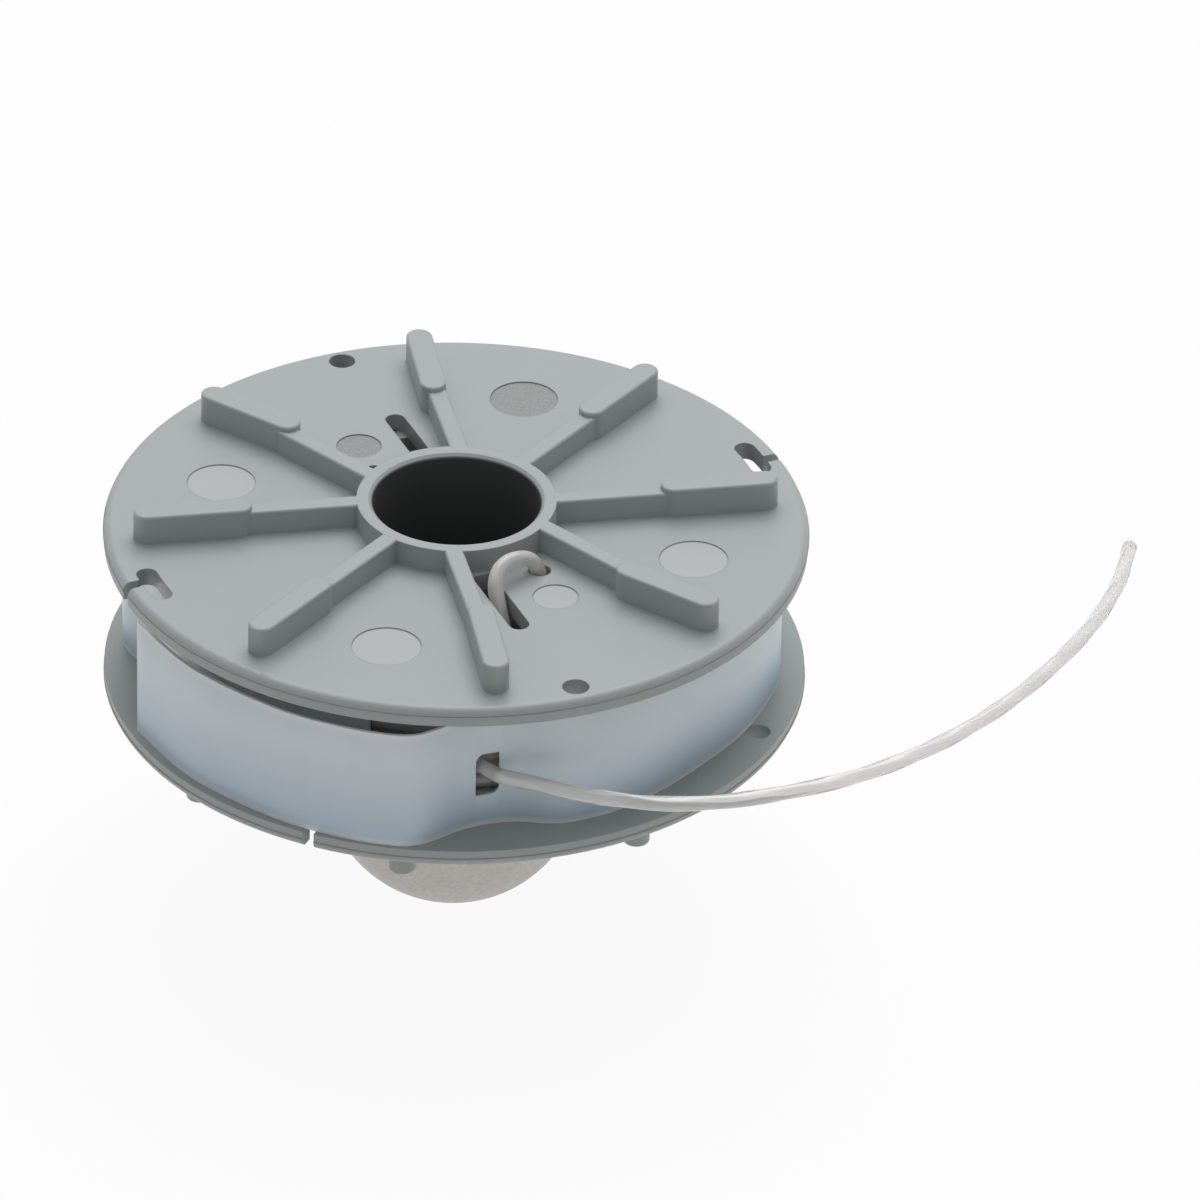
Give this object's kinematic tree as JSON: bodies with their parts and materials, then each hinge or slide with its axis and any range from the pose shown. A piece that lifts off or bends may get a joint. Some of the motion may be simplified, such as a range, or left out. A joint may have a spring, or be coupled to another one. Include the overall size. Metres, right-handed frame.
{
  "type": "trimmer line spool",
  "caption": "Round ribbed spool with cutting line wound between two flanges, a milky retaining band, a free line end and a domed metal ground cap.",
  "frame": {"origin": "on the axis of the bore, halfway between the two flanges", "axes": "+Z along the bore towards the ribbed face that has the slots, away from the domed cap; the free line end leaves on the -Y side and ends on the +X side"},
  "size_m": [0.1331, 0.0915, 0.0592],
  "materials": {
    "spool_plastic": "satin, moulded",
    "line_nylon": "semi-clear",
    "band_film": "milky, translucent",
    "cap_metal": "dull, speckled"
  },
  "bodies": {
    "root": {"spool": "spool_plastic", "wound_line": "line_nylon", "retaining_band": "band_film", "ground_cap": "cap_metal", "free_line": "line_nylon"}
  },
  "joints": []
}
